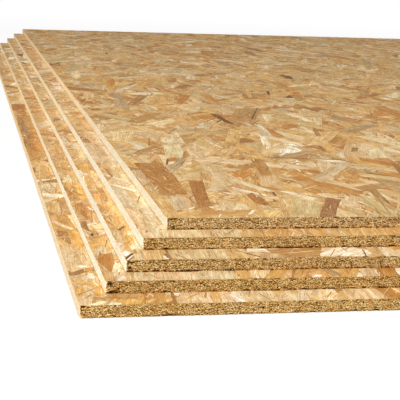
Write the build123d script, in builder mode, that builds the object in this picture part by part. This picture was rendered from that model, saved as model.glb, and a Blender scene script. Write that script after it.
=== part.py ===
from build123d import *
import os

# A stack of oriented strand board sheets, laid flat and fanned out in uneven steps.
# Millimetres. +X runs along the short edges, +Y along the long edges and the face strands, +Z up.
# The origin is at the middle of the stack's footprint, on the surface that it lies on.

# One sheet, with square sawn edges
sheet_length = 2500.0
sheet_width = 1250.0
sheet_thickness = 12.0
edge_arris = 0.4  # easing where a sawn edge meets a face
corner_wear = 1.0  # rounding of a corner that was only handled
knocked_corners = [2.0, 4.0, 3.0, 1.2, 1.5]  # rounding of each front left corner, bottom sheet first

# How far each upper sheet lies to the right of the sheet under it, and behind it
steps_right = [26.0, 22.0, 21.0, 27.5]
steps_back = [31.5, 26.5, 33.5, 29.5]

stack_width = sheet_width + sum(steps_right)
stack_length = sheet_length + sum(steps_back)

os.makedirs("parts", exist_ok=True)
for level, knocked_corner in enumerate(knocked_corners):
    left = sum(steps_right[:level]) - stack_width / 2
    front = sum(steps_back[:level]) - stack_length / 2
    underside = Plane(origin=(left, front, level * sheet_thickness))

    with BuildPart() as sheet:
        with BuildSketch(underside):
            with BuildLine():
                FilletPolyline(
                    (0, 0),
                    (sheet_width, 0),
                    (sheet_width, sheet_length),
                    (0, sheet_length),
                    radius=[knocked_corner, corner_wear, corner_wear, corner_wear],
                    close=True,
                )
            make_face()
        extrude(amount=sheet_thickness)
        chamfer(sheet.faces().filter_by(Axis.Z).edges(), length=edge_arris)

    name = f"osb_sheet_{level + 1}"
    sheet.part.label = name
    export_step(sheet.part, f"parts/{name}.step")
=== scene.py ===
import math

import bpy
import numpy as np
from mathutils import Matrix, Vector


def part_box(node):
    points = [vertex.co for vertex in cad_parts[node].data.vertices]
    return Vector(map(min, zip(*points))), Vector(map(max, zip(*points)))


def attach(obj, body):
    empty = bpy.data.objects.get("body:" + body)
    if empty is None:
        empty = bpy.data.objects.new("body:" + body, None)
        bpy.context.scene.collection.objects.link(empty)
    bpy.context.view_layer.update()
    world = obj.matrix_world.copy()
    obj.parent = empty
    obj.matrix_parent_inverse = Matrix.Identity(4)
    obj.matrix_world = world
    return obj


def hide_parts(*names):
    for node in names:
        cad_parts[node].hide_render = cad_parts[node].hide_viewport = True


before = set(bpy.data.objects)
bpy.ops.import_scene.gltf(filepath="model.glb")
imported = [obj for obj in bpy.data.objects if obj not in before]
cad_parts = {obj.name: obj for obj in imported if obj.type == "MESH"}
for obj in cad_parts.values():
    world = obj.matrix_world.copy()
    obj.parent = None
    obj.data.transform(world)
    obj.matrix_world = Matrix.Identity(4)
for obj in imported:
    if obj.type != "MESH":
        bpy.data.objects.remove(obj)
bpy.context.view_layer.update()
sheetNodes = sorted(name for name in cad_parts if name.startswith("osb_sheet_"))
sheetBoxes = [tuple(np.array(corner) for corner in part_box(name)) for name in sheetNodes]
topLevel = len(sheetNodes) - 1
perMetre = 1000  # millimetres
tinyLength = 1e-9
print("frame loaded:", len(sheetNodes), "sheets")


# Small helpers for colours, nodes and meshes

def screenColour(red, green, blue):
    # a colour as it looks on a screen, 0 to 255, turned to linear light by the sRGB curve
    shown = np.array([red, green, blue]) / 255
    linear = np.where(shown <= 0.04045, shown / 12.92, ((shown + 0.055) / 1.055) ** 2.4)
    return (*linear.tolist(), 1.0)


def addNode(tree, kind, inputs=None, **choices):
    # one node with its choices set, each input linked to a socket or given a plain value
    node = tree.nodes.new(kind)
    for name, value in choices.items():
        setattr(node, name, value)
    for name, value in (inputs or {}).items():
        if isinstance(value, bpy.types.NodeSocket):
            tree.links.new(value, node.inputs[name])
        else:
            node.inputs[name].default_value = value
    return node


def calc(tree, operation, first, second=0.0, third=0.0):
    # one sum on numbers, such as MULTIPLY, and the socket with its answer
    values = {0: first, 1: second, 2: third}
    return addNode(tree, "ShaderNodeMath", values, operation=operation).outputs[0]


def stretch(tree, value, low, high, toLow=0.0, toHigh=1.0):
    # low to high comes out as toLow to toHigh in an S curve, held at both ends
    values = {"Value": value, "From Min": low, "From Max": high, "To Min": toLow, "To Max": toHigh}
    return addNode(tree, "ShaderNodeMapRange", values, interpolation_type="SMOOTHSTEP").outputs[0]


def blendColours(tree, amount, first, second, how="MIX", clamp=False):
    # two colours mixed by an amount from 0 to 1
    values = {0: amount, 6: first, 7: second}
    choices = {"data_type": "RGBA", "blend_type": how, "clamp_result": clamp}
    return addNode(tree, "ShaderNodeMix", values, **choices).outputs[2]


def tintColour(tree, colour, tint, amount=1.0, clamp=False):
    # a colour multiplied by a tint, as far as the amount from 0 to 1 says
    return blendColours(tree, amount, colour, tint, "MULTIPLY", clamp)


def scaledVector(tree, vector, scale):
    # a coordinate with each axis multiplied by its own number
    values = {0: vector, 1: scale}
    return addNode(tree, "ShaderNodeVectorMath", values, operation="MULTIPLY").outputs[0]


def noiseValue(tree, vector, scale, detail, roughness):
    # soft random values near 0.5 on a coordinate stretched by a scale for each axis
    place = scaledVector(tree, vector, scale)
    values = {"Vector": place, "Scale": 1.0, "Detail": detail, "Roughness": roughness}
    return addNode(tree, "ShaderNodeTexNoise", values, noise_dimensions="3D").outputs["Fac"]


def fromMiddle(tree, value):
    # how far a noise value lies from its middle, 0.5
    return calc(tree, "ABSOLUTE", calc(tree, "SUBTRACT", value, 0.5))


def readAttribute(tree, name, output):
    # a value that the mesh holds for each point
    return addNode(tree, "ShaderNodeAttribute", attribute_name=name).outputs[output]


def splitVector(tree, vector):
    # the three numbers of a coordinate
    return addNode(tree, "ShaderNodeSeparateXYZ", {0: vector}).outputs


def objectPlace(tree):
    # the point's place in the shared frame
    return addNode(tree, "ShaderNodeTexCoord").outputs["Object"]


def newGroup(name, inputs, outputs):
    # a node group with named sockets, and its two inner ends
    group = bpy.data.node_groups.new(name, "ShaderNodeTree")
    for way, sockets in (("INPUT", inputs), ("OUTPUT", outputs)):
        for label, kind in sockets.items():
            group.interface.new_socket(name=label, in_out=way, socket_type=f"NodeSocket{kind}")
    return group, group.nodes.new("NodeGroupInput").outputs, group.nodes.new("NodeGroupOutput").inputs


def addGroup(tree, group, inputs):
    # a node that uses a group, and its outputs
    return addNode(tree, "ShaderNodeGroup", inputs, node_tree=group).outputs


def newMaterial(name):
    # a material with an empty node tree
    material = bpy.data.materials.new(name)
    material.use_nodes = True
    tree = material.node_tree
    tree.nodes.clear()
    return material, tree


def packed(values, kind=np.float32):
    # values in one row, as a mesh takes them
    return np.ascontiguousarray(values, kind).ravel()


def putInScene(name, points, corners, starts, materials, materialIndex=0):
    # a mesh object from whole arrays: points, the corners of all faces in a row, and where each face starts
    mesh = bpy.data.meshes.new(name)
    mesh.vertices.add(len(points))
    mesh.vertices.foreach_set("co", packed(points))
    mesh.loops.add(len(corners))
    mesh.loops.foreach_set("vertex_index", packed(corners, np.int32))
    mesh.polygons.add(len(starts))
    mesh.polygons.foreach_set("loop_start", packed(starts, np.int32))
    for material in materials:
        mesh.materials.append(material)
    finishOfFace = np.broadcast_to(materialIndex, len(starts))
    mesh.polygons.foreach_set("material_index", packed(finishOfFace, np.int32))
    mesh.update(calc_edges=True)
    mesh.shade_flat()
    piece = bpy.data.objects.new(name, mesh)
    bpy.context.collection.objects.link(piece)
    return piece


def addAttribute(piece, name, kind, values):
    # one value for each point of the mesh
    attribute = piece.data.attributes.new(name, kind, "POINT")
    field = {"FLOAT": "value", "FLOAT_COLOR": "color", "FLOAT_VECTOR": "vector"}[kind]
    attribute.data.foreach_set(field, packed(values))


def addMap(piece, places):
    # a UV map named OFBake for textures, from one place for each face corner
    layer = piece.data.uv_layers.new(name="OFBake")
    layer.uv.foreach_set("vector", packed(places))


def smoothStep(values, low, high):
    # 0 below low, 1 above high and an S curve between
    part = np.clip((values - low) / (high - low), 0, 1)
    return part**2 * (3 - 2 * part)


def latticeNoise(rng, across, up, cellAcross, cellUp):
    # random values on a lattice, blended between the four nearest points by a smooth step
    gridAcross = across / cellAcross
    gridUp = up / cellUp
    lowAcross = np.floor(gridAcross).astype(int)
    lowUp = np.floor(gridUp).astype(int)
    partAcross = smoothStep(gridAcross - lowAcross, 0, 1)
    partUp = smoothStep(gridUp - lowUp, 0, 1)
    lowAcross = lowAcross - lowAcross.min()
    lowUp = lowUp - lowUp.min()
    lattice = rng.random((lowAcross.max() + 2, lowUp.max() + 2))
    left = lattice[lowAcross, lowUp] * (1 - partUp) + lattice[lowAcross, lowUp + 1] * partUp
    right = lattice[lowAcross + 1, lowUp] * (1 - partUp) + lattice[lowAcross + 1, lowUp + 1] * partUp
    return left * (1 - partAcross) + right * partAcross


def layeredNoise(rng, across, up, layers):
    # lattice noises added up, each with its own cells and weight
    return sum(latticeNoise(rng, across, up, *cells) * weight for *cells, weight in layers)


# Shared finishes

woodGrainSettings = {
    # each noise: scales along the strand, across it and by its seed, then detail and roughness
    "fine": ((34.0, 900.0, 41.0), 3.0, 0.65),
    "broad": ((9.0, 110.0, 23.0), 1.0, 0.5),
    "line": ((5.0, 300.0, 57.0), 0.0, 0.5),
    "bit": ((85.0, 850.0, 73.0), 1.0, 0.5),
    "bark": ((120.0, 640.0, 91.0), 2.0, 0.6),
    # the range of a noise's values, and what they turn into
    "fineShade": (0.27, 0.73, 0.0, 0.7),
    "broadShade": (0.36, 0.64, 0.0, 0.3),
    "lineMask": (0.008, 0.034, 0.4, 0.0),
    "paleMask": (0.58, 0.70),
    "fleckMask": (0.26, 0.31, 0.8, 0.0),
    "barkMask": (0.38, 0.54, 0.65, 0.0),
    "darkTint": (0.71, 0.56, 0.39, 1.0),
    "lightTint": (1.19, 1.29, 1.47, 1.0),
    "lineTint": (0.82, 0.64, 0.42, 1.0),
    "paleTint": (1.28, 1.38, 1.55, 1.0),
    "barkColour": (0.16, 0.075, 0.03, 1.0),
}


def makeWoodGrain(settings):
    # streaks from noise drawn out along a strand, thin growth lines where a slow noise passes its middle, and
    # short pale and dark bits where a quick noise runs high or low
    inputs = {"Place": "Vector", "Tone": "Color", "Flecks": "Float"}
    group, given, result = newGroup("woodGrain", inputs, {"Color": "Color", "Height": "Float"})
    names = ("fine", "broad", "line", "bit", "bark")
    fine, broad, line, bit, bark = (noiseValue(group, given["Place"], *settings[name]) for name in names)
    fineShade = stretch(group, fine, *settings["fineShade"])
    shade = calc(group, "ADD", fineShade, stretch(group, broad, *settings["broadShade"]))
    tint = blendColours(group, shade, settings["darkTint"], settings["lightTint"])
    colour = tintColour(group, given["Tone"], tint)
    lineMask = stretch(group, fromMiddle(group, line), *settings["lineMask"])
    colour = tintColour(group, colour, settings["lineTint"], lineMask)
    colour = tintColour(group, colour, settings["paleTint"], stretch(group, bit, *settings["paleMask"]))
    bark = calc(group, "MULTIPLY", stretch(group, bark, *settings["barkMask"]), given["Flecks"])
    mask = calc(group, "MAXIMUM", stretch(group, bit, *settings["fleckMask"]), bark)
    group.links.new(blendColours(group, mask, colour, settings["barkColour"]), result["Color"])
    group.links.new(calc(group, "SUBTRACT", fine, mask), result["Height"])
    return group


sawnFibreSettings = {
    "fibreEnds": (1450.0, 2650.0, 1.0),  # cells to the metre along the edge and up it
    "fibreContrast": 1.1,
    # each noise: scales along the edge and up it, then detail and roughness
    "layer": ((80.0, 1000.0, 1.0), 2.0, 0.6),
    "speckle": ((1600.0, 3000.0, 1.0), 1.0, 0.8),
    "seam": ((75.0, 620.0, 1.0), 1.0, 0.5),
    "warmth": ((420.0, 1100.0, 1.0), 1.0, 0.5),
    # the range of a noise's values, and what they turn into
    "layerShade": (0.3, 0.7, -0.23, 0.03),
    "speckleShade": (0.3, 0.7, -0.1, 0.2),
    "seamShade": (0.004, 0.022, 0.3, 0.0),
    "darkToMiddle": (0.0, 0.5),
    "middleToPale": (0.5, 1.0),
    "coolToWarm": (0.50, 0.68),
    "coolTint": (0.98, 1.03, 1.10, 1.0),
    "warmTint": (1.02, 0.84, 0.58, 1.0),
}


def makeSawnFibre(settings):
    # cut fibre ends, each a small cell with a chance value of its own, in layers along the edge
    # the value plus a little noise runs from dark gaps by way of the middle colour to pale fibre
    inputs = dict.fromkeys(("Along", "Up", "Hollow Shade", "Grain Length"), "Float")
    inputs |= dict.fromkeys(("Pale", "Middle", "Dark"), "Color")
    group, given, result = newGroup("sawnFibre", inputs, {"Color": "Color", "Height": "Float"})
    along = calc(group, "DIVIDE", given["Along"], given["Grain Length"])
    place = addNode(group, "ShaderNodeCombineXYZ", {0: along, 1: given["Up"]}).outputs[0]
    names = ("layer", "speckle", "seam", "warmth")
    layer, speckle, seam, warmth = (noiseValue(group, place, *settings[name]) for name in names)
    cells = {"Vector": scaledVector(group, place, settings["fibreEnds"]), "Scale": 1.0}
    fibreEnd = addNode(group, "ShaderNodeTexVoronoi", cells, voronoi_dimensions="2D").outputs["Color"]
    value = addNode(group, "ShaderNodeSeparateColor", {0: fibreEnd}).outputs[0]
    layerShade = stretch(group, layer, *settings["layerShade"])
    value = calc(group, "MULTIPLY_ADD", value, settings["fibreContrast"], layerShade)
    value = calc(group, "ADD", value, stretch(group, speckle, *settings["speckleShade"]))
    value = calc(group, "SUBTRACT", value, stretch(group, fromMiddle(group, seam), *settings["seamShade"]))
    # painted shade in the hollows darkens the fibre
    value = calc(group, "SUBTRACT", value, given["Hollow Shade"])
    middle = stretch(group, value, *settings["darkToMiddle"])
    pale = stretch(group, value, *settings["middleToPale"])
    colour = blendColours(group, middle, given["Dark"], given["Middle"])
    colour = blendColours(group, pale, colour, given["Pale"])
    warmShare = stretch(group, warmth, *settings["coolToWarm"])
    tint = blendColours(group, warmShare, settings["coolTint"], settings["warmTint"])
    group.links.new(tintColour(group, colour, tint), result["Color"])
    group.links.new(value, result["Height"])
    return group


woodGrain = makeWoodGrain(woodGrainSettings)
sawnFibre = makeSawnFibre(sawnFibreSettings)
woodSpecular = 0.04


def finishMaterial(tree, colour, height, roughness, bumpStrength, bumpDistance):
    # the wood's own shader: dull, with a low bump
    relief = {"Height": height, "Strength": bumpStrength, "Distance": bumpDistance}
    bump = addNode(tree, "ShaderNodeBump", relief).outputs[0]
    values = {"Base Color": colour, "Normal": bump, "Roughness": roughness}
    shader = addNode(tree, "ShaderNodeBsdfPrincipled", values | {"Specular IOR Level": woodSpecular})
    addNode(tree, "ShaderNodeOutputMaterial", {0: shader.outputs[0]})


fleckedFrom = 0.85  # strands with a seed above this are flecked with bark
strandFinishSettings = {
    "rimShade": (0.0, 0.0008, 0.5, 0.0),  # painted shade where strands meet: distance from the rim, and how much of its dark tint shows
    "rimShadeTint": (0.66, 0.48, 0.32, 1.0),
    "stain": ((60.0, 38.0, 1.0), 4.0, 0.65),  # noise scales on the sheet, detail and roughness
    "stainRange": (0.34, 0.66),
    "stainDark": (0.89, 0.86, 0.79, 1.0),
    "stainLight": (1.06, 1.08, 1.11, 1.0),
    # painted light thrown off the next sheet's brightly lit left edge: the distance from that edge and from
    # its front over which the pale strip fades out
    "bounceLightWidth": (0.0, 0.012, 1.0, 0.0),
    "bounceLightFront": (-0.010, 0.008, 1.0, 0.0),
    "bounceLightTint": (1.25, 1.38, 1.60, 1.0),
    "finish": (0.62, 0.4, 0.0004),  # roughness, and the bump's strength and depth
}


def makeStrandMaterial(settings):
    # the strand's own tone with streaks along it, a darker rim of painted shade where strands meet, and in a
    # few strands flecks of bark
    # a strip beside the next sheet's left edge is paler, painted light thrown off that lit edge, by a smooth
    # step of the distance from it
    material, tree = newMaterial("faceStrands")
    place = readAttribute(tree, "strandPlace", "Vector")
    halfWidth = readAttribute(tree, "strandHalfWidth", "Fac")
    inStrand = splitVector(tree, place)
    flecks = stretch(tree, inStrand[2], fleckedFrom, 1.0)
    tone = readAttribute(tree, "strandTone", "Color")
    grain = addGroup(tree, woodGrain, {"Place": place, "Tone": tone, "Flecks": flecks})
    toRim = calc(tree, "SUBTRACT", halfWidth, calc(tree, "ABSOLUTE", inStrand[1]))
    # painted shade: the strand darkens towards its rim
    colour = tintColour(tree, grain["Color"], settings["rimShadeTint"], stretch(tree, toRim, *settings["rimShade"]))
    onSheet = objectPlace(tree)
    stain = stretch(tree, noiseValue(tree, onSheet, *settings["stain"]), *settings["stainRange"])
    stain = blendColours(tree, stain, settings["stainDark"], settings["stainLight"])
    colour = tintColour(tree, colour, stain)
    corner = readAttribute(tree, "stepCorner", "Vector")
    toStep = addNode(tree, "ShaderNodeVectorMath", {0: corner, 1: onSheet}, operation="SUBTRACT").outputs[0]
    toStep = splitVector(tree, toStep)
    # painted light: the ledge beside the next sheet's left edge is lit paler near it
    strip = calc(tree, "GREATER_THAN", toStep[0], 0.0)
    strip = calc(tree, "MULTIPLY", strip, stretch(tree, toStep[0], *settings["bounceLightWidth"]))
    strip = calc(tree, "MULTIPLY", strip, stretch(tree, toStep[1], *settings["bounceLightFront"]))
    colour = tintColour(tree, colour, settings["bounceLightTint"], strip)
    finishMaterial(tree, colour, grain["Height"], *settings["finish"])
    return material


underlaySettings = {
    "turn": 0.35,  # the cells lie at this angle to the sheet's length
    "cells": (55.0, 12.0, 1.0),  # to the metre
    "dark": screenColour(186, 138, 82),
    "light": screenColour(224, 188, 132),
    "finish": (0.7, 0.3, 0.0004),
}


def makeUnderlayMaterial(settings):
    # the face under the loose strands and the underside: cells along the sheet, each in its own tone
    material, tree = newMaterial("faceUnderlay")
    mapping = {"Vector": objectPlace(tree), "Rotation": (0.0, 0.0, settings["turn"])}
    turned = addNode(tree, "ShaderNodeMapping", mapping).outputs[0]
    cells = {"Vector": scaledVector(tree, turned, settings["cells"]), "Scale": 1.0}
    chance = addNode(tree, "ShaderNodeTexVoronoi", cells).outputs["Color"]
    pick = addNode(tree, "ShaderNodeSeparateColor", {0: chance}).outputs[0]
    tone = blendColours(tree, pick, settings["dark"], settings["light"])
    along = splitVector(tree, turned)
    place = addNode(tree, "ShaderNodeCombineXYZ", {0: along[1], 1: along[0], 2: pick}).outputs[0]
    grain = addGroup(tree, woodGrain, {"Place": place, "Tone": tone, "Flecks": 0.0})
    finishMaterial(tree, grain["Color"], grain["Height"], *settings["finish"])
    return material


endCutSettings = {
    "Pale": screenColour(255, 236, 184),
    "Middle": screenColour(190, 143, 72),
    "Dark": screenColour(58, 32, 6),
    "Grain Length": 1.0,
}
# the long cut's near-white colours are a painted highlight of the strong light from the left; the right
# edges' tint takes them back to the wood's own colour
longCutSettings = {
    "Pale": screenColour(255, 254, 248),
    "Middle": screenColour(250, 246, 226),
    "Dark": screenColour(228, 202, 152),
    "Grain Length": 2.0,
}
cutFinish = (0.75, 0.4, 0.0005)  # roughness, and the bump's strength and depth


def makeCutMaterial(name, settings):
    # a sawn edge, read along the edge and up it, multiplied by the edge's tint, which on the left edges holds
    # a painted highlight
    material, tree = newMaterial(name)
    place = splitVector(tree, objectPlace(tree))
    along = calc(tree, "ADD", place[0], place[1])
    values = {"Along": along, "Up": place[2], "Hollow Shade": readAttribute(tree, "hollowShade", "Fac")}
    cut = addGroup(tree, sawnFibre, values | settings)
    colour = tintColour(tree, cut["Color"], readAttribute(tree, "edgeTint", "Color"), clamp=True)
    finishMaterial(tree, colour, cut["Height"], *cutFinish)
    return material


faceStrands = makeStrandMaterial(strandFinishSettings)
faceUnderlay = makeUnderlayMaterial(underlaySettings)
endCut = makeCutMaterial("endCut", endCutSettings)
longCut = makeCutMaterial("longCut", longCutSettings)
print("materials made")


# The boards

boardSettings = {
    "seed": 11,
    "skin": 0.00052,  # the loose strands rise this far above the board's own top
    "topArris": 0.0002,
    "underArris": 0.0009,
    "cornerRadii": [0.002, 0.004, 0.003, 0.0012, 0.0015],
    "otherRadius": 0.001,
    "rows": 15,
    # where each part of a run ends, and the spacing there
    "frontSteps": [(0.34, 0.0009), (1.25, 0.003)],
    "leftSteps": [(0.05, 0.0009), (0.6, 0.0025), (2.5, 0.006)],
    "plainStep": 0.005,
    "endGrainFrom": 0.7,  # edges that face front or back by more than this show end grain
    # noise cells along the edge and up it, with a weight where noises add up, and the range that counts
    "pitCells": [(0.0024, 0.0011, 0.55), (0.0013, 0.0009, 0.45)],
    "pitRange": (0.56, 0.82),
    "roughCell": (0.0014, 0.0010),
    "chipCell": (0.006, 1.0),
    "chipRange": (0.64, 0.92),
    "chipShapeCell": (0.0021, 0.004),
    "chipShapeRange": (0.35, 0.8),
    "gapCells": [(0.007, 1.0, 0.4), (0.0025, 1.0, 0.6)],
    "gapRange": (0.48, 0.72),
    "lowestGapRange": (0.66, 0.8),  # fewer gaps under the bottom sheet
    "raggedRange": (0.4, 0.75),
    # how deep each hollow goes, and how dark its painted shade looks
    "pitDepth": 0.0005,
    "pitShade": 0.26,
    "roughness": 0.00022,
    "chipDepth": 0.0010,
    "chipShade": 0.8,
    "gapDepth": 1.2,  # times the under arris
    "gapShade": (0.8, 0.35),  # painted shadow in the gaps, in the two lowest rows
    "longUnderShade": 0.2,  # in the same rows of the long edges: partly the under arris's own darker colour, partly painted contact shadow
    "raggedDepth": [0.0010, 0.0016, 0.0018, 0.0008, 0.0008],
    "raggedShade": 0.1,
    "raggedReach": 0.005,  # to each side of a front left corner
    "tornShade": 0.7,
    "tornRough": (0.6, 0.8),  # a tear's least depth, and what roughness adds to it
    "longPits": 0.4,  # share of the pits on the long edges
    "longGaps": 0.3,
    "arrisPits": 0.6,  # pits are shallower by this at the arrises
    "arrisFade": 0.45,  # share of the chips in the row next to an arris
    "underEase": (0.4, 0.15),  # times the under arris, on end grain and on the long edges
    "underRows": (1.0, 0.5),  # share of that in the two lowest rows
    # differences in colour between the sheets' sawn ends, and the left edges' tints, a painted highlight of
    # the strong light from the left, bottom sheet first
    "endTints": [
        (1.22, 1.04, 0.83),
        (1.0, 0.93, 0.77),
        (1.0, 0.95, 0.86),
        (1.01, 0.95, 0.83),
        (1.01, 1.0, 1.03),
    ],
    "leftLitTints": [
        (0.97, 0.82, 0.64),
        (0.98, 0.98, 0.92),
        (0.98, 0.98, 0.94),
        (0.95, 0.97, 0.93),
        (0.92, 0.89, 0.82),
    ],
    "leftLightFade": (1.14, 0.99, 0.81),  # painted fall-off of the strong light: the left edges turn warmer by this towards the back
    "fadeRange": (0.3, 1.2),  # from the front, over which the left edges' painted light falls off
    # the right edges' own wood colour, taking the long cut's painted highlight back off
    "rightTint": (0.82, 0.64, 0.44),
    # notches torn out of each front left corner: place past it along the front, or up the left side if below
    # 0, height, half length, half height and depth, in millimetres
    "tears": [
        [(1.0, 10.4, 3.0, 0.8, 0.8)],
        [(-0.5, 9.6, 2.4, 1.6, 1.0), (3.0, 1.6, 3.0, 0.9, 1.2)],
        [
            (3.0, 9.3, 3.6, 0.5, 1.6),
            (0.2, 9.6, 1.2, 0.7, 1.8),
            (0.6, 4.0, 1.5, 0.6, 1.4),
            (-2.6, 6.6, 1.4, 1.0, 1.2),
            (-6.0, 10.8, 2.4, 0.9, 1.4),
        ],
        [],
        [],
    ],
    # the texture map: lines for the edge, a line's margin and used part along it and up it, and the
    # place and size of the underside and the top face
    "mapLines": 16,
    "mapAcross": (0.01, 0.97),
    "mapUp": (0.12, 0.76),
    "mapUnder": ((0.01, 0.51), (0.98, 0.23)),
    "mapOver": ((0.01, 0.76), (0.98, 0.23)),
}


def gradedSteps(length, zones):
    # places along a length, spaced evenly within each zone
    places = []
    begin = 0.0
    for end, spacing in zones:
        end = min(end, length)
        count = max(2, int((end - begin) / spacing))
        places.append(np.linspace(begin, end, count, endpoint=end == length))
        begin = end
    return np.concatenate(places)


def cornerArc(centre, radius, startAngle, count=7):
    # a quarter circle of points from a start angle, with the direction straight out at each
    angle = np.radians(startAngle) + np.linspace(0, math.pi / 2, count)
    outward = np.stack([np.cos(angle), np.sin(angle)], 1)
    return np.array(centre) + radius * outward, outward


def straightRun(across, back, outward):
    # points with one coordinate fixed, with the direction straight out at each
    points = np.stack(np.broadcast_arrays(across, back), 1)
    return points, np.broadcast_to(outward, points.shape)


def sheetOutline(low, high, cornerRadius, settings):
    # the path round a sheet from its front left corner: straight runs joined by quarter circles
    left, front = low[:2]
    right, back = high[:2]
    small = settings["otherRadius"]
    alongFront = gradedSteps(right - left - cornerRadius - small, settings["frontSteps"])
    alongRight = np.arange(0, back - front - 2 * small, settings["plainStep"])[1:]
    alongBack = np.arange(0, right - left - 2 * small, settings["plainStep"])[1:]
    alongLeft = gradedSteps(back - front - cornerRadius - small, settings["leftSteps"])[-2::-1]
    wornPoints, wornOutward = cornerArc((left + cornerRadius, front + cornerRadius), cornerRadius, 180)
    runs = [
        straightRun(left + cornerRadius + alongFront, front, (0, -1)),
        cornerArc((right - small, front + small), small, -90),
        straightRun(right, front + small + alongRight, (1, 0)),
        cornerArc((right - small, back - small), small, 0),
        straightRun(right - small - alongBack, back, (0, 1)),
        cornerArc((left + small, back - small), small, 90),
        straightRun(left, front + cornerRadius + alongLeft, (-1, 0)),
        (wornPoints[1:-1], wornOutward[1:-1]),
    ]
    points, outwards = zip(*runs)
    return np.concatenate(points), np.concatenate(outwards)


def boardMap(path, along, step, heights, settings):
    # places on the texture map: the edge in lines on the lower half, underside and top face above
    lines = settings["mapLines"]
    lineLength = (along[-1] + step[-1]) / lines
    line = np.minimum(along // lineLength, lines - 1)
    begin = along - line * lineLength
    margin, used = settings["mapAcross"]
    across = margin + used * np.stack([begin, begin + step, begin + step, begin], 1) / lineLength
    up = (heights - heights[0]) / (heights[-1] - heights[0])
    margin, used = settings["mapUp"]
    up = margin + used * np.stack([up[:-1], up[:-1], up[1:], up[1:]], 1)
    edge = np.empty((len(along), len(heights) - 1, 4, 2))
    edge[..., 0] = across[:, None]
    edge[..., 1] = (line[:, None, None] + up) / lines / 2
    part = (path - path.min(0)) / np.ptp(path, axis=0)
    underStart, underSize = settings["mapUnder"]
    overStart, overSize = settings["mapOver"]
    under = underStart + part[::-1] * underSize
    over = overStart + part * overSize
    return np.concatenate([edge.reshape(-1, 2), under, over])


def edgeRelief(level, along, edgeLength, heights, endGrain, settings):
    # how far in each point of the edge lies, and the painted shade in its hollows: the sum of pits,
    # roughness, chips by the arrises, gaps along the under arris, and the ragged and torn front left corner
    rng = np.random.default_rng(settings["seed"] + level)
    run, height = np.meshgrid(along, heights, indexing="ij")
    noHeight = np.zeros_like(height)
    pit = smoothStep(layeredNoise(rng, run, height, settings["pitCells"]), *settings["pitRange"])
    pit = pit * np.where(endGrain, 1.0, settings["longPits"])
    rough = latticeNoise(rng, run, height, *settings["roughCell"])
    chip = smoothStep(latticeNoise(rng, run, noHeight, *settings["chipCell"]), *settings["chipRange"])
    chipShape = latticeNoise(rng, run, height, *settings["chipShapeCell"])
    chip = chip * smoothStep(chipShape, *settings["chipShapeRange"])
    gapRange = settings["gapRange" if level > 0 else "lowestGapRange"]
    gap = smoothStep(layeredNoise(rng, run, noHeight, settings["gapCells"]), *gapRange)
    gap = gap[:, :2] * np.where(endGrain, 1.0, settings["longGaps"])
    nearArris = np.zeros(len(heights))
    nearArris[[0, 1, -2, -1]] = 1.0
    nearArris[[2, -3]] = settings["arrisFade"]
    pit = pit * (1 - settings["arrisPits"] * nearArris)
    chip = chip * nearArris

    hollowShade = settings["pitShade"] * pit + settings["chipShade"] * chip
    hollowShade[:, :2] += gap * settings["gapShade"] + np.where(endGrain, 0.0, settings["longUnderShade"])
    inset = settings["pitDepth"] * pit + settings["roughness"] * rough + settings["chipDepth"] * chip
    eased = np.where(endGrain, *settings["underEase"]) + settings["gapDepth"] * gap
    inset[:, :2] += settings["underArris"] * eased * settings["underRows"]
    inset[:, -1] += settings["topArris"]
    pastCorner = np.where(run > run.max() / 2, run - edgeLength, run)
    ragged = np.exp(-((pastCorner / settings["raggedReach"]) ** 2))
    ragged = ragged * smoothStep(rough, *settings["raggedRange"])
    inset += settings["raggedDepth"][level] * ragged
    hollowShade += settings["raggedShade"] * ragged
    least, more = settings["tornRough"]
    for place, tornHeight, halfLength, halfHeight, depth in settings["tears"][level]:
        awayAlong = (pastCorner * perMetre - place) / halfLength
        awayUp = ((height - heights[0]) * perMetre - tornHeight) / halfHeight
        torn = np.exp(-(awayAlong**2) - awayUp**2) * (least + more * rough)
        inset += depth * torn / perMetre
        hollowShade += settings["tornShade"] * torn
    return inset, np.clip(hollowShade, 0, 1)


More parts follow.
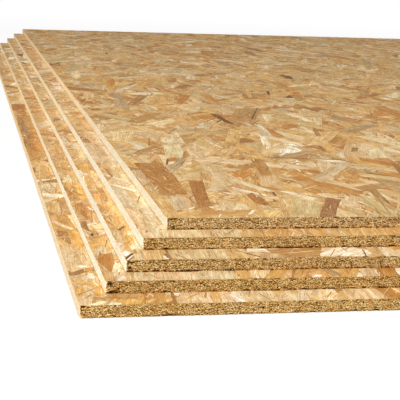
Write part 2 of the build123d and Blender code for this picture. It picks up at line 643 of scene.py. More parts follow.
def makeBoard(level, settings):
    # a profile carried round the outline, from lid to lid by rows up the edge, and pushed in by the relief
    low, high = sheetBoxes[level]
    path, outward = sheetOutline(low, high, settings["cornerRadii"][level], settings)
    step = np.linalg.norm(np.roll(path, -1, 0) - path, axis=1)
    along = np.append(0, np.cumsum(step)[:-1])
    bottom = low[2]
    top = high[2] - settings["skin"]
    heights = np.linspace(bottom + settings["underArris"], top - settings["topArris"], settings["rows"])
    heights = np.concatenate([[bottom], heights, [top]])
    stations = len(path)
    rows = len(heights)
    endGrain = np.abs(outward[:, 1:2]) > settings["endGrainFrom"]
    inset, hollowShade = edgeRelief(level, along, along[-1] + step[-1], heights, endGrain, settings)
    points = np.empty((stations, rows, 3))
    points[..., :2] = path[:, None] - outward[:, None] * inset[..., None]
    points[..., 2] = heights

    number = np.arange(stations * rows).reshape(stations, rows)
    following = np.roll(number, -1, 0)
    edges = np.stack([number[:, :-1], following[:, :-1], following[:, 1:], number[:, 1:]], -1).reshape(-1, 4)
    corners = np.concatenate([edges.ravel(), number[::-1, 0], number[:, -1]])
    starts = np.append(np.arange(len(edges)) * 4, len(edges) * 4 + np.array([0, stations]))
    finishes = [faceUnderlay, endCut, longCut]
    finishIndex = np.append(np.repeat(np.where(endGrain[:, 0], 1, 2), rows - 1), [0, 0])
    name = f"sheet_{level + 1}_board"
    piece = putInScene(name, points.reshape(-1, 3), corners, starts, finishes, finishIndex)
    addAttribute(piece, "hollowShade", "FLOAT", hollowShade)
    # the left edges keep the painted highlight of the strong light from the left, fading warmer towards the
    # back; the right edges take the wood's own colour
    backness = smoothStep(path[:, 1:] - low[1], *settings["fadeRange"])
    leftLitTint = settings["leftLitTints"][level] * (1 + backness * (np.array(settings["leftLightFade"]) - 1))
    longTint = np.where(outward[:, :1] > 0, settings["rightTint"], leftLitTint)
    tint = np.where(endGrain, settings["endTints"][level], longTint)
    tint = np.append(tint, np.ones((stations, 1)), 1)
    addAttribute(piece, "edgeTint", "FLOAT_COLOR", np.repeat(tint, rows, 0))
    addMap(piece, boardMap(path, along, step, heights, settings))
    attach(piece, "root")
    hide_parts(sheetNodes[level])
    return piece


boards = [makeBoard(level, boardSettings) for level in range(len(sheetNodes))]
print("boards made:", sum(len(board.data.polygons) for board in boards), "faces")


# The face strands

strandSettings = {
    "seed": 23,
    "cover": 4.6,  # how many strands lie over each point, on average
    "length": (0.112, 0.028, 0.050, 0.170),  # mean, spread, least and most
    "width": (0.0185, 0.42, 0.007, 0.042),  # middle value, spread of its logarithm, least and most
    "meanWidth": 1.09,  # mean width as a share of the middle value
    "sliverShare": 0.52,
    "sliverLength": (0.015, 0.085),
    "sliverWidth": (0.0009, 0.0042),
    "placedSliver": 0.006,  # strands given one by one count as slivers below this width
    "fibres": 2600,  # loose fibres to the square metre, on top of all strands
    "ledgeFibres": 6000,
    "fibreLength": (0.005, 0.038),
    "fibreWidth": (0.0004, 0.0017),
    "clearCorner": 0.02,  # no loose fibres this near a front left corner
    "strewPast": (0.03, 0.05),  # past the sheet's sides and ends
    "lean": 7.0,  # mean direction from the sheet's length, in degrees
    "turn": 27.0,  # spread about it
    "strayShare": 0.15,  # strands that lie in any direction
    "thickness": 0.00034,
    "band": 0.00040,  # strand tops lie within this of the sheet's face
    "strewnRank": 0.8,  # share of the band that strewn strands reach, with those given one by one above
    "placedRank": (0.86, 0.98),
    "tilt": 0.00008,
    "raggedRim": 0.0008,  # strands stop up to this far short of the sheet's edge
    "leastRun": 0.003,  # strands that the edge cuts shorter are left out
    "slant": 0.45,  # share of the width
    "jag": 0.010,  # most that the teeth of a torn end run back
    "jagPower": 1.5,
    "mostTorn": 0.4,  # share of half the length
    "taper": 0.25,  # share of the width that an end loses
    "wander": 0.0007,  # how far long sides stray from a straight line
    "wanderShare": 0.2,  # the same as a share of half the width, at most
    "bend": 0.0024,
    "bendStart": 0.4,
    "cell": 0.002,  # of the grid on which hidden strands are found
    "leastShown": 0.000014,  # square metres
    "reach": 0.095,  # how far strands go on under the next sheet
    # points along a side and within an end of each kind
    "kinds": {"strands": (1, 3), "slivers": (0, 1), "fibres": (0, 0)},
    "topStrips": 4,  # pieces that the top sheet's strands are parted into
    "noStep": (10.0, 10.0, 0.0),  # far off, as no sheet lies on the top one
    "mapMargin": 0.06,  # round a strand's square on the texture map
    # screen colours, and how common each is among strands, slivers and fibres
    "tones": {
        "honey": ((215, 172, 108), 0.27, 0.18, 0.16),
        "tan": ((207, 161, 98), 0.145, 0.06, 0.08),
        "beige": ((213, 179, 129), 0.15, 0.06, 0.06),
        "olive": ((203, 174, 121), 0.09, 0.04, 0.04),
        "peach": ((223, 188, 139), 0.08, 0.06, 0.06),
        "cream": ((229, 203, 158), 0.105, 0.26, 0.22),
        "white": ((238, 221, 188), 0.02, 0.11, 0.12),
        "orange": ((193, 137, 72), 0.07, 0.12, 0.12),
        "umber": ((186, 141, 84), 0.05, 0.05, 0.08),
        "brown": ((168, 121, 70), 0.03, 0.06, 0.06),
        "grey": ((184, 152, 107), 0.025, 0.01, 0.0),
        "dark": ((118, 80, 45), 0.005, 0.03, 0.02),
        "resin": ((191, 135, 70), 0.01, 0.0, 0.0),
        "wheat": ((217, 189, 138), 0.0, 0.0, 0.06),
        "gold": ((217, 167, 92), 0.0, 0.0, 0.08),
        "bare": ((243, 228, 196), 0, 0, 0),
        "bark": ((168, 121, 76), 0, 0, 0),
        "rust": ((184, 126, 64), 0, 0, 0),
        "straw": ((230, 182, 114), 0, 0, 0),
    },
    "flecked": ("resin", "bark", "rust"),
    # chance differences in red, green and blue: in brightness and in warmth
    "toneSpread": (0.030, 0.055, 0.090),
    "warmthSpread": (-0.034, -0.010, 0.050),
    # each sheet's share of red, green and blue, bottom sheet first: partly its own tone, and on the lower
    # sheets partly painted light, as their ledges are lit brighter by light off the pale left edges
    "sheetGainAndLedgeLight": [
        (1.06, 1.10, 1.13),
        (1.02, 1.04, 1.08),
        (1.03, 1.07, 1.16),
        (1.05, 1.065, 1.11),
        (0.985, 1.005, 0.995),
    ],
}

# strands given one by one, each over those before it, in a list for each sheet, bottom sheet first
# from x, y to x, y, width and tone, in millimetres from the sheet's front left corner
placedStrands = [
    [
        (11, -8, 14, 96, 36, "beige"), (12, 104, 16, 204, 32, "beige"), (8, 692, 12, 796, 16, "orange"),
        (19, 686, 22, 784, 13, "umber"), (6, 762, 11, 892, 15, "brown"), (19, 750, 18, 884, 15, "orange"),
        (8, 876, 12, 1012, 16, "brown"), (20, 870, 22, 1004, 12, "orange"), (7, 996, 12, 1134, 15, "brown"),
        (20, 990, 18, 1126, 15, "umber"), (10, 1116, 14, 1290, 24, "rust"), (48, -8, 60, 42, 52, "gold"),
        (20, 28, 64, 22, 16, "umber"), (114, -12, 118, 42, 54, "peach"), (178, -12, 183, 42, 62, "beige"),
        (121, -8, 127, 40, 9, "honey"), (143, -8, 148, 42, 12, "cream"), (64, -8, 72, 42, 18, "orange"),
        (246, -10, 256, 40, 14, "peach"), (6, 552, 13, 654, 15, "honey"), (20, 566, 16, 692, 15, "honey"),
        (9, 640, 4, 704, 14, "tan"), (222, -8, 236, 42, 18, "cream"), (262, -12, 268, 42, 36, "peach"),
        (22, 24, 24, 66, 9, "gold"), (3, 28, 6, 56, 6, "gold"), (13, 1, 17, 26, 4, "umber"),
        (6, -4, 26, 12, 7, "cream"), (28, -4, 34, 9, 9, "cream"), (60, 3, 70, 17, 5, "honey"),
        (70, -4, 79, 40, 8, "umber"), (83, -10, 88, 42, 3.5, "brown"), (137, 23, 149, -5, 6, "white"),
        (177, 25, 193, 29, 8, "gold"), (200, -6, 215, 36, 14, "cream"), (225, 6, 237, 27, 1.6, "umber"),
        (114, 12, 119, 34, 2, "orange"), (239, -6, 254, 38, 5, "honey"), (4, 190, 10, 268, 15, "tan"),
        (17, 180, 24, 272, 14, "tan"), (19, 258, 14, 352, 15, "umber"), (4, 262, 7, 348, 14, "tan"),
        (5, 338, 13, 420, 15, "tan"), (21, 340, 25, 424, 13, "umber"), (17, 266, 25, 198, 11, "gold"),
        (5, 200, 9, 268, 16, "brown"), (1, 316, 20, 272, 7, "cream"), (-4, 460, 33, 434, 18, "white"),
        (-2, 70, 28, 62, 8, "gold"), (15, 19, 28, 18, 9, "umber"), (4, 44, 9, 58, 5, "gold"),
        (7, 20, 14, 33, 4, "umber"), (9, 80, 24, 90, 9, "white"), (18, 88, 22, 102, 6, "cream"),
        (10, 120, 19, 128, 8, "white"), (-3, 91, 27, 119, 9, "bark"), (14, 106, 27, 119, 8, "orange"),
    ],
    [
        (11, -8, 14, 60, 30, "beige"), (10, 84, 13, 180, 28, "honey"), (11, 76, 15, 122, 20, "wheat"),
        (4, 338, 9, 446, 15, "gold"), (17, 330, 20, 428, 14, "gold"), (5, 434, 16, 492, 13, "wheat"),
        (19, 420, 20, 506, 11, "honey"), (5, 482, 11, 572, 15, "tan"), (18, 496, 16, 590, 13, "tan"),
        (6, 636, 13, 720, 15, "honey"), (19, 626, 17, 730, 12, "tan"), (2, 402, 19, 352, 9, "umber"),
        (38, -8, 42, 36, 22, "wheat"), (66, -8, 70, 34, 44, "peach"), (112, -10, 117, 36, 52, "wheat"),
        (150, -8, 176, 36, 16, "gold"), (128, -8, 133, 36, 16, "honey"), (176, -6, 191, 36, 17, "tan"),
        (203, -6, 208, 34, 16, "straw"), (222, -8, 245, 36, 18, "gold"), (247, -8, 256, 36, 16, "peach"),
        (266, -8, 276, 36, 20, "orange"), (171, -6, 186, 36, 3, "brown"), (194, 0, 203, 10, 6, "white"),
        (219, 3, 213, 30, 12, "grey"), (123.5, 7, 126, 15, 2.5, "brown"), (262, -2, 267, 34, 2.2, "brown"),
        (6, 222, 14, 336, 19, "orange"), (3, 184, 5, 232, 7, "brown"), (4, 155, 9, 177, 3, "dark"),
        (-2, 121, 21, 138, 9, "gold"), (15, 28, 19, 66, 9, "cream"), (17, 103, 19, 119, 5, "gold"),
        (12, 0, 20, 17, 6, "white"), (2, 26, 14, 99, 17, "orange"), (1, 4, 6, 27, 6, "tan"),
    ],
    [
        (4, -8, 9, 100, 17, "honey"), (17, -8, 19, 112, 16, "wheat"), (4, 90, 9, 190, 16, "honey"),
        (16, 102, 19, 200, 15, "straw"), (11, 98, 16, 142, 10, "gold"), (3, 78, 7, 112, 9, "beige"),
        (28, -15, 33, 50, 26, "honey"), (64, -15, 67, 50, 44, "wheat"), (102, -15, 106, 50, 30, "honey"),
        (91, -8, 95, 42, 12, "wheat"), (190, -8, 242, 32, 38, "white"), (118, 8, 201, 21, 36, "umber"),
        (116, 30, 144, 25, 15, "white"), (244, -15, 250, 50, 12, "honey"), (257, -8, 263, 42, 14, "cream"),
        (264, 22, 278, 38, 12, "gold"), (38, -4, 39, 13, 4, "white"), (40, 4, 39.5, 20, 1.5, "dark"),
        (41, -6, 44, 40, 3, "brown"), (93, -3, 97, 8, 2, "dark"), (8, 50, 13, 68, 8, "gold"),
        (13, 54, 16, 98, 9, "gold"), (2, 52, 7, 71, 5, "white"), (8, 111, 17, 131, 3.5, "dark"),
        (4, 182, 10, 294, 16, "straw"), (16, 190, 18, 310, 16, "straw"), (6, 284, 11, 404, 16, "honey"),
        (18, 298, 16, 434, 14, "straw"), (6, 394, 10, 476, 16, "gold"), (13, 243, 15, 322, 6, "orange"),
        # the narrow dark strands from (-1.5, 0) and from (7, 7) are painted shadow in the crevices between
        # the torn pale flakes
        (-1, 12, 8, 32, 9, "bare"), (12, 20, 14, 40, 3, "orange"), (-1.5, 0, 11, 27, 1.9, "dark"),
        (-1, 1, 3, 9, 1.4, "orange"), (0, -2, 11, 20, 2.2, "bare"), (7, 7, 9, 18, 1.6, "dark"),
    ],
    [
        (6, -10, 8, 150, 20, "peach"), (20, -10, 22, 150, 18, "wheat"), (6, 118, 9, 262, 19, "wheat"),
        (22, 126, 22, 252, 19, "wheat"), (5, 254, 10, 396, 18, "beige"), (21, 240, 24, 380, 19, "wheat"),
        (8, 388, 6, 540, 19, "beige"), (23, 370, 21, 520, 19, "beige"), (6, 530, 10, 650, 19, "beige"),
        (22, 510, 23, 642, 19, "peach"), (8, 640, 6, 774, 19, "honey"), (23, 632, 21, 760, 19, "tan"),
        (4, 306, 25, 254, 7, "cream"), (4, 250, 30, 204, 8, "white"), (8, 352, 10, 290, 3, "brown"),
        (2, 382, 4, 366, 3, "brown"), (40, -15, 46, 45, 50, "wheat"), (84, -15, 91, 45, 34, "wheat"),
        (106, -15, 113, 45, 22, "honey"), (134, -15, 142, 45, 34, "tan"), (158, -15, 166, 45, 16, "tan"),
        (146, -15, 154, 45, 16, "tan"), (174, -12, 181, 42, 16, "honey"), (222, -15, 230, 45, 44, "honey"),
        (254, -15, 262, 45, 18, "tan"), (191, -10, 198, 42, 8, "tan"), (118, -6, 123, 40, 3, "umber"),
        (6, 19, 9, 31, 1.6, "dark"),
    ],
    [
        (139, -10, 167, 86, 28, "olive"), (366, 930, 412, 1040, 38, "tan"), (5, -10, 9, 112, 20, "honey"),
        (3, 104, 9, 252, 13, "beige"), (22, 28, 27, 104, 15, "beige"), (30, 14, 104, 25, 26, "tan"),
        (68, 24, 76, 84, 16, "beige"), (68, 322, 84, 432, 26, "wheat"), (268, 228, 324, 174, 22, "honey"),
        (338, 320, 362, 394, 34, "wheat"), (378, 514, 424, 376, 26, "cream"),
        (98, 320, 110, 428, 20, "peach"), (97, 145, 101, 308, 21, "beige"), (30, 106, 29, 292, 33, "resin"),
        (47, 42, 66, 184, 16, "rust"), (22, 258, 25, 290, 4, "brown"), (34, 203, 37, 224, 3.5, "brown"),
        (25, 156, 28, 178, 3, "brown"), (21, 112, 25, 136, 3, "brown"), (44, 227, 81, 330, 11, "grey"),
        (190, 210, 239, 97, 22, "orange"), (202, 171, 287, 298, 20, "beige"),
        (157, 207, 172, 324, 16, "umber"), (111, 190, 137, 116, 12, "cream"),
        (95, 147, 128, 96, 11, "white"), (74, 183, 89, 156, 7, "cream"), (150, 129, 181, 77, 9, "white"),
        (110, 116, 114, 51, 13, "rust"), (136, 184, 141, 218, 9, "orange"), (157, -15, 198, 88, 17, "bark"),
        (243, 323, 287, 300, 13, "white"), (288, 327, 301, 375, 12, "cream"),
        (183, 334, 289, 314, 6, "brown"), (28, 37, 37, 49, 4, "white"), (85, 12, 97, 33, 4, "white"),
        (332, 196, 356, 308, 22, "brown"), (20, 349, 63, 417, 12, "umber"), (181, 358, 170, 418, 27, "tan"),
        (319, 369, 336, 412, 9, "brown"), (312, 500, 331, 587, 7, "brown"),
        (394, 498, 402, 564, 17, "cream"), (367, 544, 441, 624, 24, "grey"),
        (59, 617, 113, 726, 27, "umber"), (236, 638, 283, 804, 40, "umber"),
        (252, 658, 297, 794, 3.5, "dark"), (224, 703, 240, 794, 16, "beige"),
        (276, 638, 292, 724, 15, "cream"), (204, 724, 209, 608, 11, "dark"), (64, 757, 76, 886, 24, "grey"),
        (84, 813, 129, 950, 17, "brown"), (235, 823, 243, 957, 15, "orange"),
        (430, 1083, 436, 1197, 22, "orange"),
    ],
]


strandKind, sliverKind, fibreKind = range(3)  # in the order of the settings' kinds


def strandTones(settings):
    # the named tones in linear light, and each one's share among strands, slivers and fibres
    names = list(settings["tones"])
    colours = np.array([screenColour(*settings["tones"][name][0])[:3] for name in names])
    shares = np.array([settings["tones"][name][1:] for name in names])
    return names, colours, shares / shares.sum(0)


def drawStrands(rng, level, rect, count, fibreCount, settings):
    # sizes, directions, heights and tones of strands strewn evenly over a rectangle, of those given one by
    # one on top, and of the loose fibres
    (lowX, lowY), (highX, highY) = rect
    placed = np.array([strand[:5] for strand in placedStrands[level]]) / perMetre
    begin = placed[:, :2]
    run = placed[:, 2:4] - begin
    placedWidth = placed[:, 4]
    mean, spread, least, most = settings["length"]
    length = np.clip(rng.normal(mean, spread, count), least, most)
    middle, spread, least, most = settings["width"]
    width = np.clip(middle * np.exp(rng.normal(0, spread, count)), least, most)
    sliver = rng.random(count) < settings["sliverShare"]
    length = np.where(sliver, rng.uniform(*settings["sliverLength"], count), length)
    width = np.where(sliver, rng.uniform(*settings["sliverWidth"], count), width)
    fibreLength = rng.uniform(*settings["fibreLength"], fibreCount)
    fibreWidth = rng.uniform(*settings["fibreWidth"], fibreCount)

    strewn = count + fibreCount
    turn = np.radians(rng.normal(settings["lean"], settings["turn"], strewn))
    stray = rng.random(strewn) < settings["strayShare"]
    angle = np.where(stray, rng.uniform(-math.pi / 2, math.pi / 2, strewn), turn)
    pastX, pastY = settings["strewPast"]
    x = rng.uniform(lowX - pastX, highX + pastX, strewn)
    y = rng.uniform(lowY - pastY, highY + pastY, strewn)
    names, colours, shares = strandTones(settings)
    pick = rng.choice(len(names), count, p=shares[:, 0])
    pick = np.where(sliver, rng.choice(len(names), count, p=shares[:, 1]), pick)
    placedPick = [names.index(strand[5]) for strand in placedStrands[level]]
    fibrePick = rng.choice(len(names), fibreCount, p=shares[:, 2])
    pick = np.concatenate([pick, placedPick, fibrePick]).astype(int)
    total = len(pick)
    gain = rng.normal(0, 1, (total, 1)) * settings["toneSpread"]
    gain = gain + rng.normal(0, 1, (total, 1)) * settings["warmthSpread"]

    def joined(strewnValues, placedValues):
        return np.concatenate([strewnValues[:count], placedValues, strewnValues[count:]])

    strewnKind = np.where(sliver, sliverKind, strandKind)
    placedKind = np.where(placedWidth < settings["placedSliver"], sliverKind, strandKind)
    strewnRank = np.linspace(0, settings["strewnRank"], count)
    placedRank = np.linspace(*settings["placedRank"], len(placed))
    strands = {
        "x": joined(x, lowX + (begin + run / 2)[:, 0]),
        "y": joined(y, lowY + (begin + run / 2)[:, 1]),
        "angle": joined(angle, np.arctan2(*run.T)),
        "length": np.concatenate([length, np.linalg.norm(run, axis=1), fibreLength]),
        "width": np.concatenate([width, placedWidth, fibreWidth]),
        "kind": np.concatenate([strewnKind, placedKind, np.full(fibreCount, fibreKind)]),
        "rank": np.concatenate([strewnRank, placedRank, np.ones(fibreCount)]),
        # each sheet's gain: partly its own tone, partly painted light on the lower sheets' ledges
        "tone": colours[pick] * np.exp(gain) * settings["sheetGainAndLedgeLight"][level],
    }
    for name in ("slantStart", "slantEnd", "taperStart", "taperEnd", "bend", "tiltAlong", "tiltAcross"):
        strands[name] = rng.uniform(-1, 1, total)
    for name in ("tiltAlong", "tiltAcross"):  # strands given one by one lie level, so each covers those before it
        strands[name][count:count + len(placed)] = 0.0
    for name in ("jagStart", "jagEnd", "shortfall"):
        strands[name] = rng.random(total)
    flecked = np.isin(pick, [names.index(name) for name in settings["flecked"]])
    strands["seed"] = np.where(flecked, 1.0, rng.uniform(-1, fleckedFrom, total))
    return strands


def keepStrands(strands, chosen):
    # the same values for the chosen strands alone
    return {name: values[chosen] for name, values in strands.items()}


def shownArea(strands, rect, exposed, cell):
    # paints the strands on a grid of cells from the lowest up, then counts the cells that still show each one
    xs = np.arange(rect[0][0] + cell / 2, rect[1][0], cell)
    ys = np.arange(rect[0][1] + cell / 2, rect[1][1], cell)
    owner = np.full((len(ys), len(xs)), -1)
    sine = np.sin(strands["angle"])
    cosine = np.cos(strands["angle"])
    halfLength = strands["length"] / 2
    halfWidth = strands["width"] / 2
    reachX = halfLength * np.abs(sine) + halfWidth * np.abs(cosine)
    reachY = halfLength * np.abs(cosine) + halfWidth * np.abs(sine)
    firstX, lastX = (np.searchsorted(xs, strands["x"] + way * reachX) for way in (-1, 1))
    firstY, lastY = (np.searchsorted(ys, strands["y"] + way * reachY) for way in (-1, 1))
    for i in range(len(sine)):
        columns = slice(firstX[i], lastX[i])
        lines = slice(firstY[i], lastY[i])
        dx = xs[None, columns] - strands["x"][i]
        dy = ys[lines, None] - strands["y"][i]
        inside = np.abs(dx * sine[i] + dy * cosine[i]) < halfLength[i]
        inside &= np.abs(dx * cosine[i] - dy * sine[i]) < halfWidth[i]
        owner[lines, columns][inside] = i
    shown = owner[exposed(xs[None, :], ys[:, None]) & (owner >= 0)]
    return np.bincount(shown, minlength=len(sine)) * cell * cell


def runInside(base, direction, half, low, high):
    # how far a line from base runs each way before it leaves the rectangle, held to half a strand's length
    with np.errstate(divide="ignore", invalid="ignore"):
        first = (low - base) / direction
        last = (high - base) / direction
    start = np.maximum(np.nanmax(np.minimum(first, last), -1), -half)
    end = np.minimum(np.nanmin(np.maximum(first, last), -1), half)
    return start, end


def roundCorner(plan, rect, radius):
    # points past the quarter circle at the front left corner are drawn back onto it
    centre = np.array(rect[0]) + radius
    away = plan - centre
    distance = np.linalg.norm(away, axis=-1, keepdims=True)
    past = (away < 0).all(-1, keepdims=True) & (distance > radius)
    return np.where(past, centre + away * radius / np.maximum(distance, tinyLength), plan)


def strandOutlines(rng, strands, stations, teeth, rect, cornerRadius, faceHeight, settings):
    # each strand's outline, counter-clockwise: right side forwards, a torn end, left side back, a torn end
    # places along and across it turn into places on the sheet by its direction, and stop at the sheet's edge
    count = len(strands["x"])
    column = {name: values[:, None] for name, values in strands.items()}
    direction = np.stack([np.sin(strands["angle"]), np.cos(strands["angle"])], -1)
    sideways = np.stack([direction[:, 1], -direction[:, 0]], -1)
    centre = np.stack([strands["x"], strands["y"]], -1)
    half = strands["length"] / 2
    halfWidth = column["width"] / 2
    short = column["shortfall"] ** 2 * settings["raggedRim"]
    low = rect[0] + short
    high = rect[1] - short
    leftStart, leftEnd = runInside(centre - sideways * halfWidth, direction, half, low, high)
    rightStart, rightEnd = runInside(centre + sideways * halfWidth, direction, half, low, high)
    leftWhole = leftEnd > leftStart
    rightWhole = rightEnd > rightStart
    leftStart, leftEnd = np.where(leftWhole, (leftStart, leftEnd), (rightStart, rightEnd))
    rightStart, rightEnd = np.where(rightWhole, (rightStart, rightEnd), (leftStart, leftEnd))
    shorter = np.minimum(leftEnd - leftStart, rightEnd - rightStart)
    fit = (leftWhole | rightWhole) & (shorter > settings["leastRun"])

    def tornEnd(first, last, fromSide, slant, jag):
        # across an end from side to side, cut back by a slant and by teeth unless the sheet's edge cut it
        part = np.linspace(0, 1, teeth + 2)
        line = first[:, None] * (1 - part) + last[:, None] * part
        free = np.abs(line) >= half[:, None] - tinyLength
        side = fromSide * (1 - 2 * part)
        back = column["width"] * settings["slant"] * np.abs(slant) * (1 + np.sign(slant) * side)
        back = back + settings["jag"] * jag * rng.random((count, teeth + 2)) ** settings["jagPower"]
        back = np.minimum(back, settings["mostTorn"] * half[:, None])
        return np.where(free, line - np.sign(line) * back, line), side * np.ones((count, 1))

    endAlong, endSide = tornEnd(rightEnd, leftEnd, 1.0, column["slantEnd"], column["jagEnd"])
    startAlong, startSide = tornEnd(leftStart, rightStart, -1.0, column["slantStart"], column["jagStart"])
    share = np.linspace(0, 1, stations + 2)[1:-1]
    rightAlong = startAlong[:, -1:] * (1 - share) + endAlong[:, :1] * share
    leftAlong = endAlong[:, -1:] * (1 - share) + startAlong[:, :1] * share
    ones = np.ones((count, stations))
    along = np.concatenate([rightAlong, endAlong, leftAlong, startAlong], 1)
    side = np.concatenate([ones, endSide, -ones, startSide], 1)
    part = along / half[:, None]
    narrowed = np.clip(-part * column["taperStart"], 0, 1) + np.clip(part * column["taperEnd"], 0, 1)
    across = side * halfWidth * (1 - settings["taper"] * narrowed)
    stray = settings["bend"] * column["bend"] * (part**2 - settings["bendStart"])
    wander = np.minimum(settings["wander"], settings["wanderShare"] * halfWidth)
    stray = stray + wander * rng.uniform(-1, 1, along.shape)
    plan = centre[:, None] + direction[:, None] * along[..., None]
    plan = plan + sideways[:, None] * (across + stray)[..., None]
    plan = roundCorner(np.clip(plan, low[:, None], high[:, None]), rect, cornerRadius)
    tilt = column["tiltAlong"] * part + column["tiltAcross"] * side
    height = faceHeight - settings["band"] * (1 - column["rank"]) - settings["tilt"] * (1 + tilt / 2)
    top = np.concatenate([plan, height[..., None]], -1)[fit]
    under = top - np.array([0, 0, settings["thickness"]])
    place = np.stack([along, across, column["seed"] * np.ones_like(along)], -1)[fit]
    return fit, np.concatenate([top, under], 1), np.concatenate([place, place], 1)


def strandFaces(first, corners):
    # the faces of strands by point number: an underside, a wall on each side of the outline, and a top
    ring = np.arange(corners)
    ahead = np.roll(ring, -1)
    wall = np.stack([ring + corners, ahead + corners, ahead, ring], -1).ravel()
    one = np.concatenate([ring[::-1] + corners, wall, ring])
    lengths = np.concatenate([[corners], np.full(corners, 4), [corners]])
    return (first[:, None] + one).ravel(), np.tile(lengths, len(first))


def strandMap(place, tone, margin):
    # places on the texture map: each strand fills a square, among strands of like tone
    count = len(place)
    squares = math.ceil(math.sqrt(count))
    order = np.empty(count, int)
    order[np.argsort(tone.mean(1))] = np.arange(count)
    low = place[..., :2].min(1)
    high = place[..., :2].max(1)
    inSquare = (place[..., :2] - low[:, None]) / (high - low)[:, None]
    square = np.stack([order % squares, order // squares], 1)
    return (square[:, None] + margin + (1 - 2 * margin) * inSquare) / squares


def makeStrands(level, settings):
    # strands are drawn for the whole sheet, those that show are kept, and each kind becomes a piece or a few
    rng = np.random.default_rng(settings["seed"] + level)
    low, high = sheetBoxes[level]
    rect = (low[:2], high[:2])
    size = high - low
    openX, openY = sheetBoxes[level + 1][0][:2] if level < topLevel else high[:2]
    stepCorner = (openX, openY, 0.0) if level < topLevel else settings["noStep"]

    def exposed(x, y):
        return (x < openX) | (y < openY)

    sliverArea = np.mean(settings["sliverLength"]) * np.mean(settings["sliverWidth"])
    strandArea = settings["meanWidth"] * settings["length"][0] * settings["width"][0]
    meanArea = strandArea * (1 - settings["sliverShare"]) + sliverArea * settings["sliverShare"]
    count = int(settings["cover"] * size[0] * size[1] / meanArea)
    fibreCount = int(size[0] * size[1] * settings["fibres" if level == topLevel else "ledgeFibres"])
    strands = drawStrands(rng, level, rect, count, fibreCount, settings)
    near = exposed(strands["x"] - settings["reach"], strands["y"] - settings["reach"])
    strands = keepStrands(strands, near)
    shown = shownArea(strands, rect, exposed, settings["cell"])
    inOpen = exposed(strands["x"], strands["y"])
    inOpen &= np.hypot(strands["x"] - low[0], strands["y"] - low[1]) > settings["clearCorner"]
    kept = np.where(strands["kind"] == fibreKind, inOpen, shown > settings["leastShown"])
    strands = keepStrands(strands, kept)

    for kind, (label, (stations, teeth)) in enumerate(settings["kinds"].items()):
        strips = settings["topStrips"] if level == topLevel and label == "strands" else 1
        strip = np.clip((strands["x"] - low[0]) / size[0] * strips, 0, strips - 1).astype(int)
        for number in range(strips):
            name = f"sheet_{level + 1}_{label}" + (f"_{number + 1}" if strips > 1 else "")
            chosen = keepStrands(strands, (strands["kind"] == kind) & (strip == number))
            shape = (stations, teeth, rect, boardSettings["cornerRadii"][level], high[2])
            fit, outline, place = strandOutlines(rng, chosen, *shape, settings)
            made, pointCount = outline.shape[:2]
            corners, lengths = strandFaces(pointCount * np.arange(made), pointCount // 2)
            starts = np.append(0, np.cumsum(lengths)[:-1])
            piece = putInScene(name, outline.reshape(-1, 3), corners, starts, [faceStrands])
            tones = np.concatenate([chosen["tone"][fit], np.ones((made, 1))], 1)
            addAttribute(piece, "strandTone", "FLOAT_COLOR", np.repeat(tones, pointCount, 0))
            addAttribute(piece, "strandPlace", "FLOAT_VECTOR", place)
            addAttribute(piece, "strandHalfWidth", "FLOAT", np.repeat(chosen["width"][fit] / 2, pointCount))
            addAttribute(piece, "stepCorner", "FLOAT_VECTOR", np.tile(stepCorner, (made * pointCount, 1)))
            addMap(piece, strandMap(place, tones[:, :3], settings["mapMargin"]).reshape(-1, 2)[corners])
            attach(piece, "root")
            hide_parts(sheetNodes[level])
            print(name, "count:", made, "triangles:", (lengths - 2).sum())


for level in range(len(sheetNodes)):
    makeStrands(level, strandSettings)


# Floor, light and camera

def seenDirectly(tree):
    # 1 for rays from the camera, also by a mirror or through glass, and 0 for those that only carry light
    ray = addNode(tree, "ShaderNodeLightPath").outputs
    byGlass = calc(tree, "MAXIMUM", ray["Is Glossy Ray"], ray["Is Transmission Ray"])
    return calc(tree, "MAXIMUM", ray["Is Camera Ray"], byGlass)


floorSettings = {
    "size": 24.0,
    "fade": (1.9, 3.2, 0.9, 1.0),  # distances between which it fades to plain white, and its share there
    "seenWhite": (0.95, 0.95, 0.95, 1.0),
    "bounce": (0.5, 0.5, 0.5, 1.0),  # what it throws back onto the sheets
}
plainWhite = (1.0, 1.0, 1.0, 1.0)


def makeFloor(settings):
    # a flat square: dull white by the stack with its shadow on it, fading to plain white further out
    half = settings["size"] / 2
    points = np.array([(-half, -half, 0), (half, -half, 0), (half, half, 0), (-half, half, 0)])
    material, tree = newMaterial("paleFloor")
    away = addNode(tree, "ShaderNodeVectorMath", {0: objectPlace(tree)}, operation="LENGTH").outputs["Value"]
    direct = seenDirectly(tree)
    fade = calc(tree, "MULTIPLY", stretch(tree, away, *settings["fade"]), direct)
    colour = blendColours(tree, direct, settings["bounce"], settings["seenWhite"])
    dull = addNode(tree, "ShaderNodeBsdfDiffuse", {"Color": colour}).outputs[0]
    plain = addNode(tree, "ShaderNodeEmission", {"Color": plainWhite, "Strength": 1.0}).outputs[0]
    mix = addNode(tree, "ShaderNodeMixShader", {0: fade, 1: dull, 2: plain})
    addNode(tree, "ShaderNodeOutputMaterial", {0: mix.outputs[0]})
    floor = putInScene("floor", points, np.arange(4), [0], [material])


lightSettings = {
    "sky": 0.42,
    # each lamp's name, place and aim from the bottom sheet's front left corner, size and power
    "lamps": [
        ("leftWindow", (-2.6, -0.9, 2.2), (0.3, 0.4, 0.0), 2.2, 116.0),
        ("frontWindow", (0.7, -2.3, 2.4), (0.4, 0.4, 0.0), 1.8, 52.0),
    ],
}


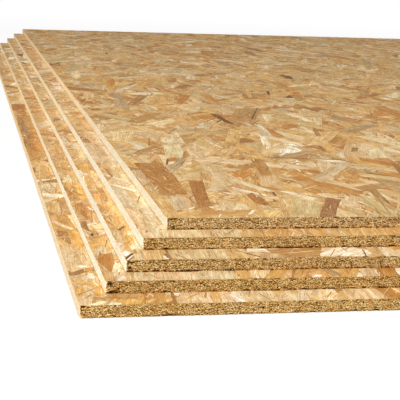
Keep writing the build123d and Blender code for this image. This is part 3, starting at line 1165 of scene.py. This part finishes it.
def lookAlong(place, aim):
    # a turn that points local -Z from place to aim, with local Y as near up as it goes
    back = np.array(place) - np.array(aim)
    back = back / np.linalg.norm(back)
    right = np.cross((0, 0, 1), back)
    right = right / np.linalg.norm(right)
    return np.stack([right, np.cross(back, right), back], 1)


def putByMatrix(thing, turn, place):
    # a turn and a place joined in one matrix
    matrix = np.eye(4)
    matrix[:3, :3] = turn
    matrix[:3, 3] = place
    thing.matrix_world = Matrix(matrix.tolist())


def makeLight(settings):
    # a sky that looks plain white but lights the stack by its own strength, and square lamps as windows
    world = bpy.data.worlds.new("studio")
    bpy.context.scene.world = world
    world.use_nodes = True
    tree = world.node_tree
    tree.nodes.clear()
    strength = calc(tree, "MULTIPLY_ADD", seenDirectly(tree), 1.0 - settings["sky"], settings["sky"])
    sky = addNode(tree, "ShaderNodeBackground", {"Color": plainWhite, "Strength": strength})
    addNode(tree, "ShaderNodeOutputWorld", {0: sky.outputs[0]})

    corner = sheetBoxes[0][0]
    for name, place, aim, size, power in settings["lamps"]:
        lamp = bpy.data.lights.new(name, "AREA")
        lamp.shape = "SQUARE"
        lamp.size = size
        lamp.energy = power
        holder = bpy.data.objects.new(name, lamp)
        bpy.context.collection.objects.link(holder)
        putByMatrix(holder, lookAlong(corner + place, corner + aim), corner + place)


cameraSettings = {
    "focalPixels": 1151.0,  # focal length in pixels of a picture 400 wide
    "pictureWidth": 400,
    "sensorWidth": 36.0,
    "clipEnd": 100.0,
    "fromCorner": (-0.1032, -0.948, 0.3144),  # from the bottom sheet's front left corner
    "yaw": 12.24,
    "pitch": 12.21,
    "roll": 2.35,
}


def makeCamera(settings):
    # turned right by yaw, down by pitch, and rolled about its own line of sight
    yaw, pitch, roll = (math.radians(settings[name]) for name in ("yaw", "pitch", "roll"))
    ahead = np.array([math.sin(yaw) * math.cos(pitch), math.cos(yaw) * math.cos(pitch), -math.sin(pitch)])
    right = np.array([math.cos(yaw), -math.sin(yaw), 0.0])
    up = np.cross(right, ahead)
    rolledRight = math.cos(roll) * right + math.sin(roll) * up
    rolledUp = math.cos(roll) * up - math.sin(roll) * right
    data = bpy.data.cameras.new("photoCamera")
    data.sensor_width = settings["sensorWidth"]
    data.lens = settings["sensorWidth"] * settings["focalPixels"] / settings["pictureWidth"]
    data.clip_end = settings["clipEnd"]
    camera = bpy.data.objects.new("photoCamera", data)
    bpy.context.collection.objects.link(camera)
    place = sheetBoxes[0][0] + np.array(settings["fromCorner"])
    putByMatrix(camera, np.stack([rolledRight, rolledUp, -ahead], 1), place)
    bpy.context.scene.camera = camera


makeFloor(floorSettings)
makeLight(lightSettings)
makeCamera(cameraSettings)
bpy.context.scene.view_settings.view_transform = "Standard"
print("floor, light and camera set")
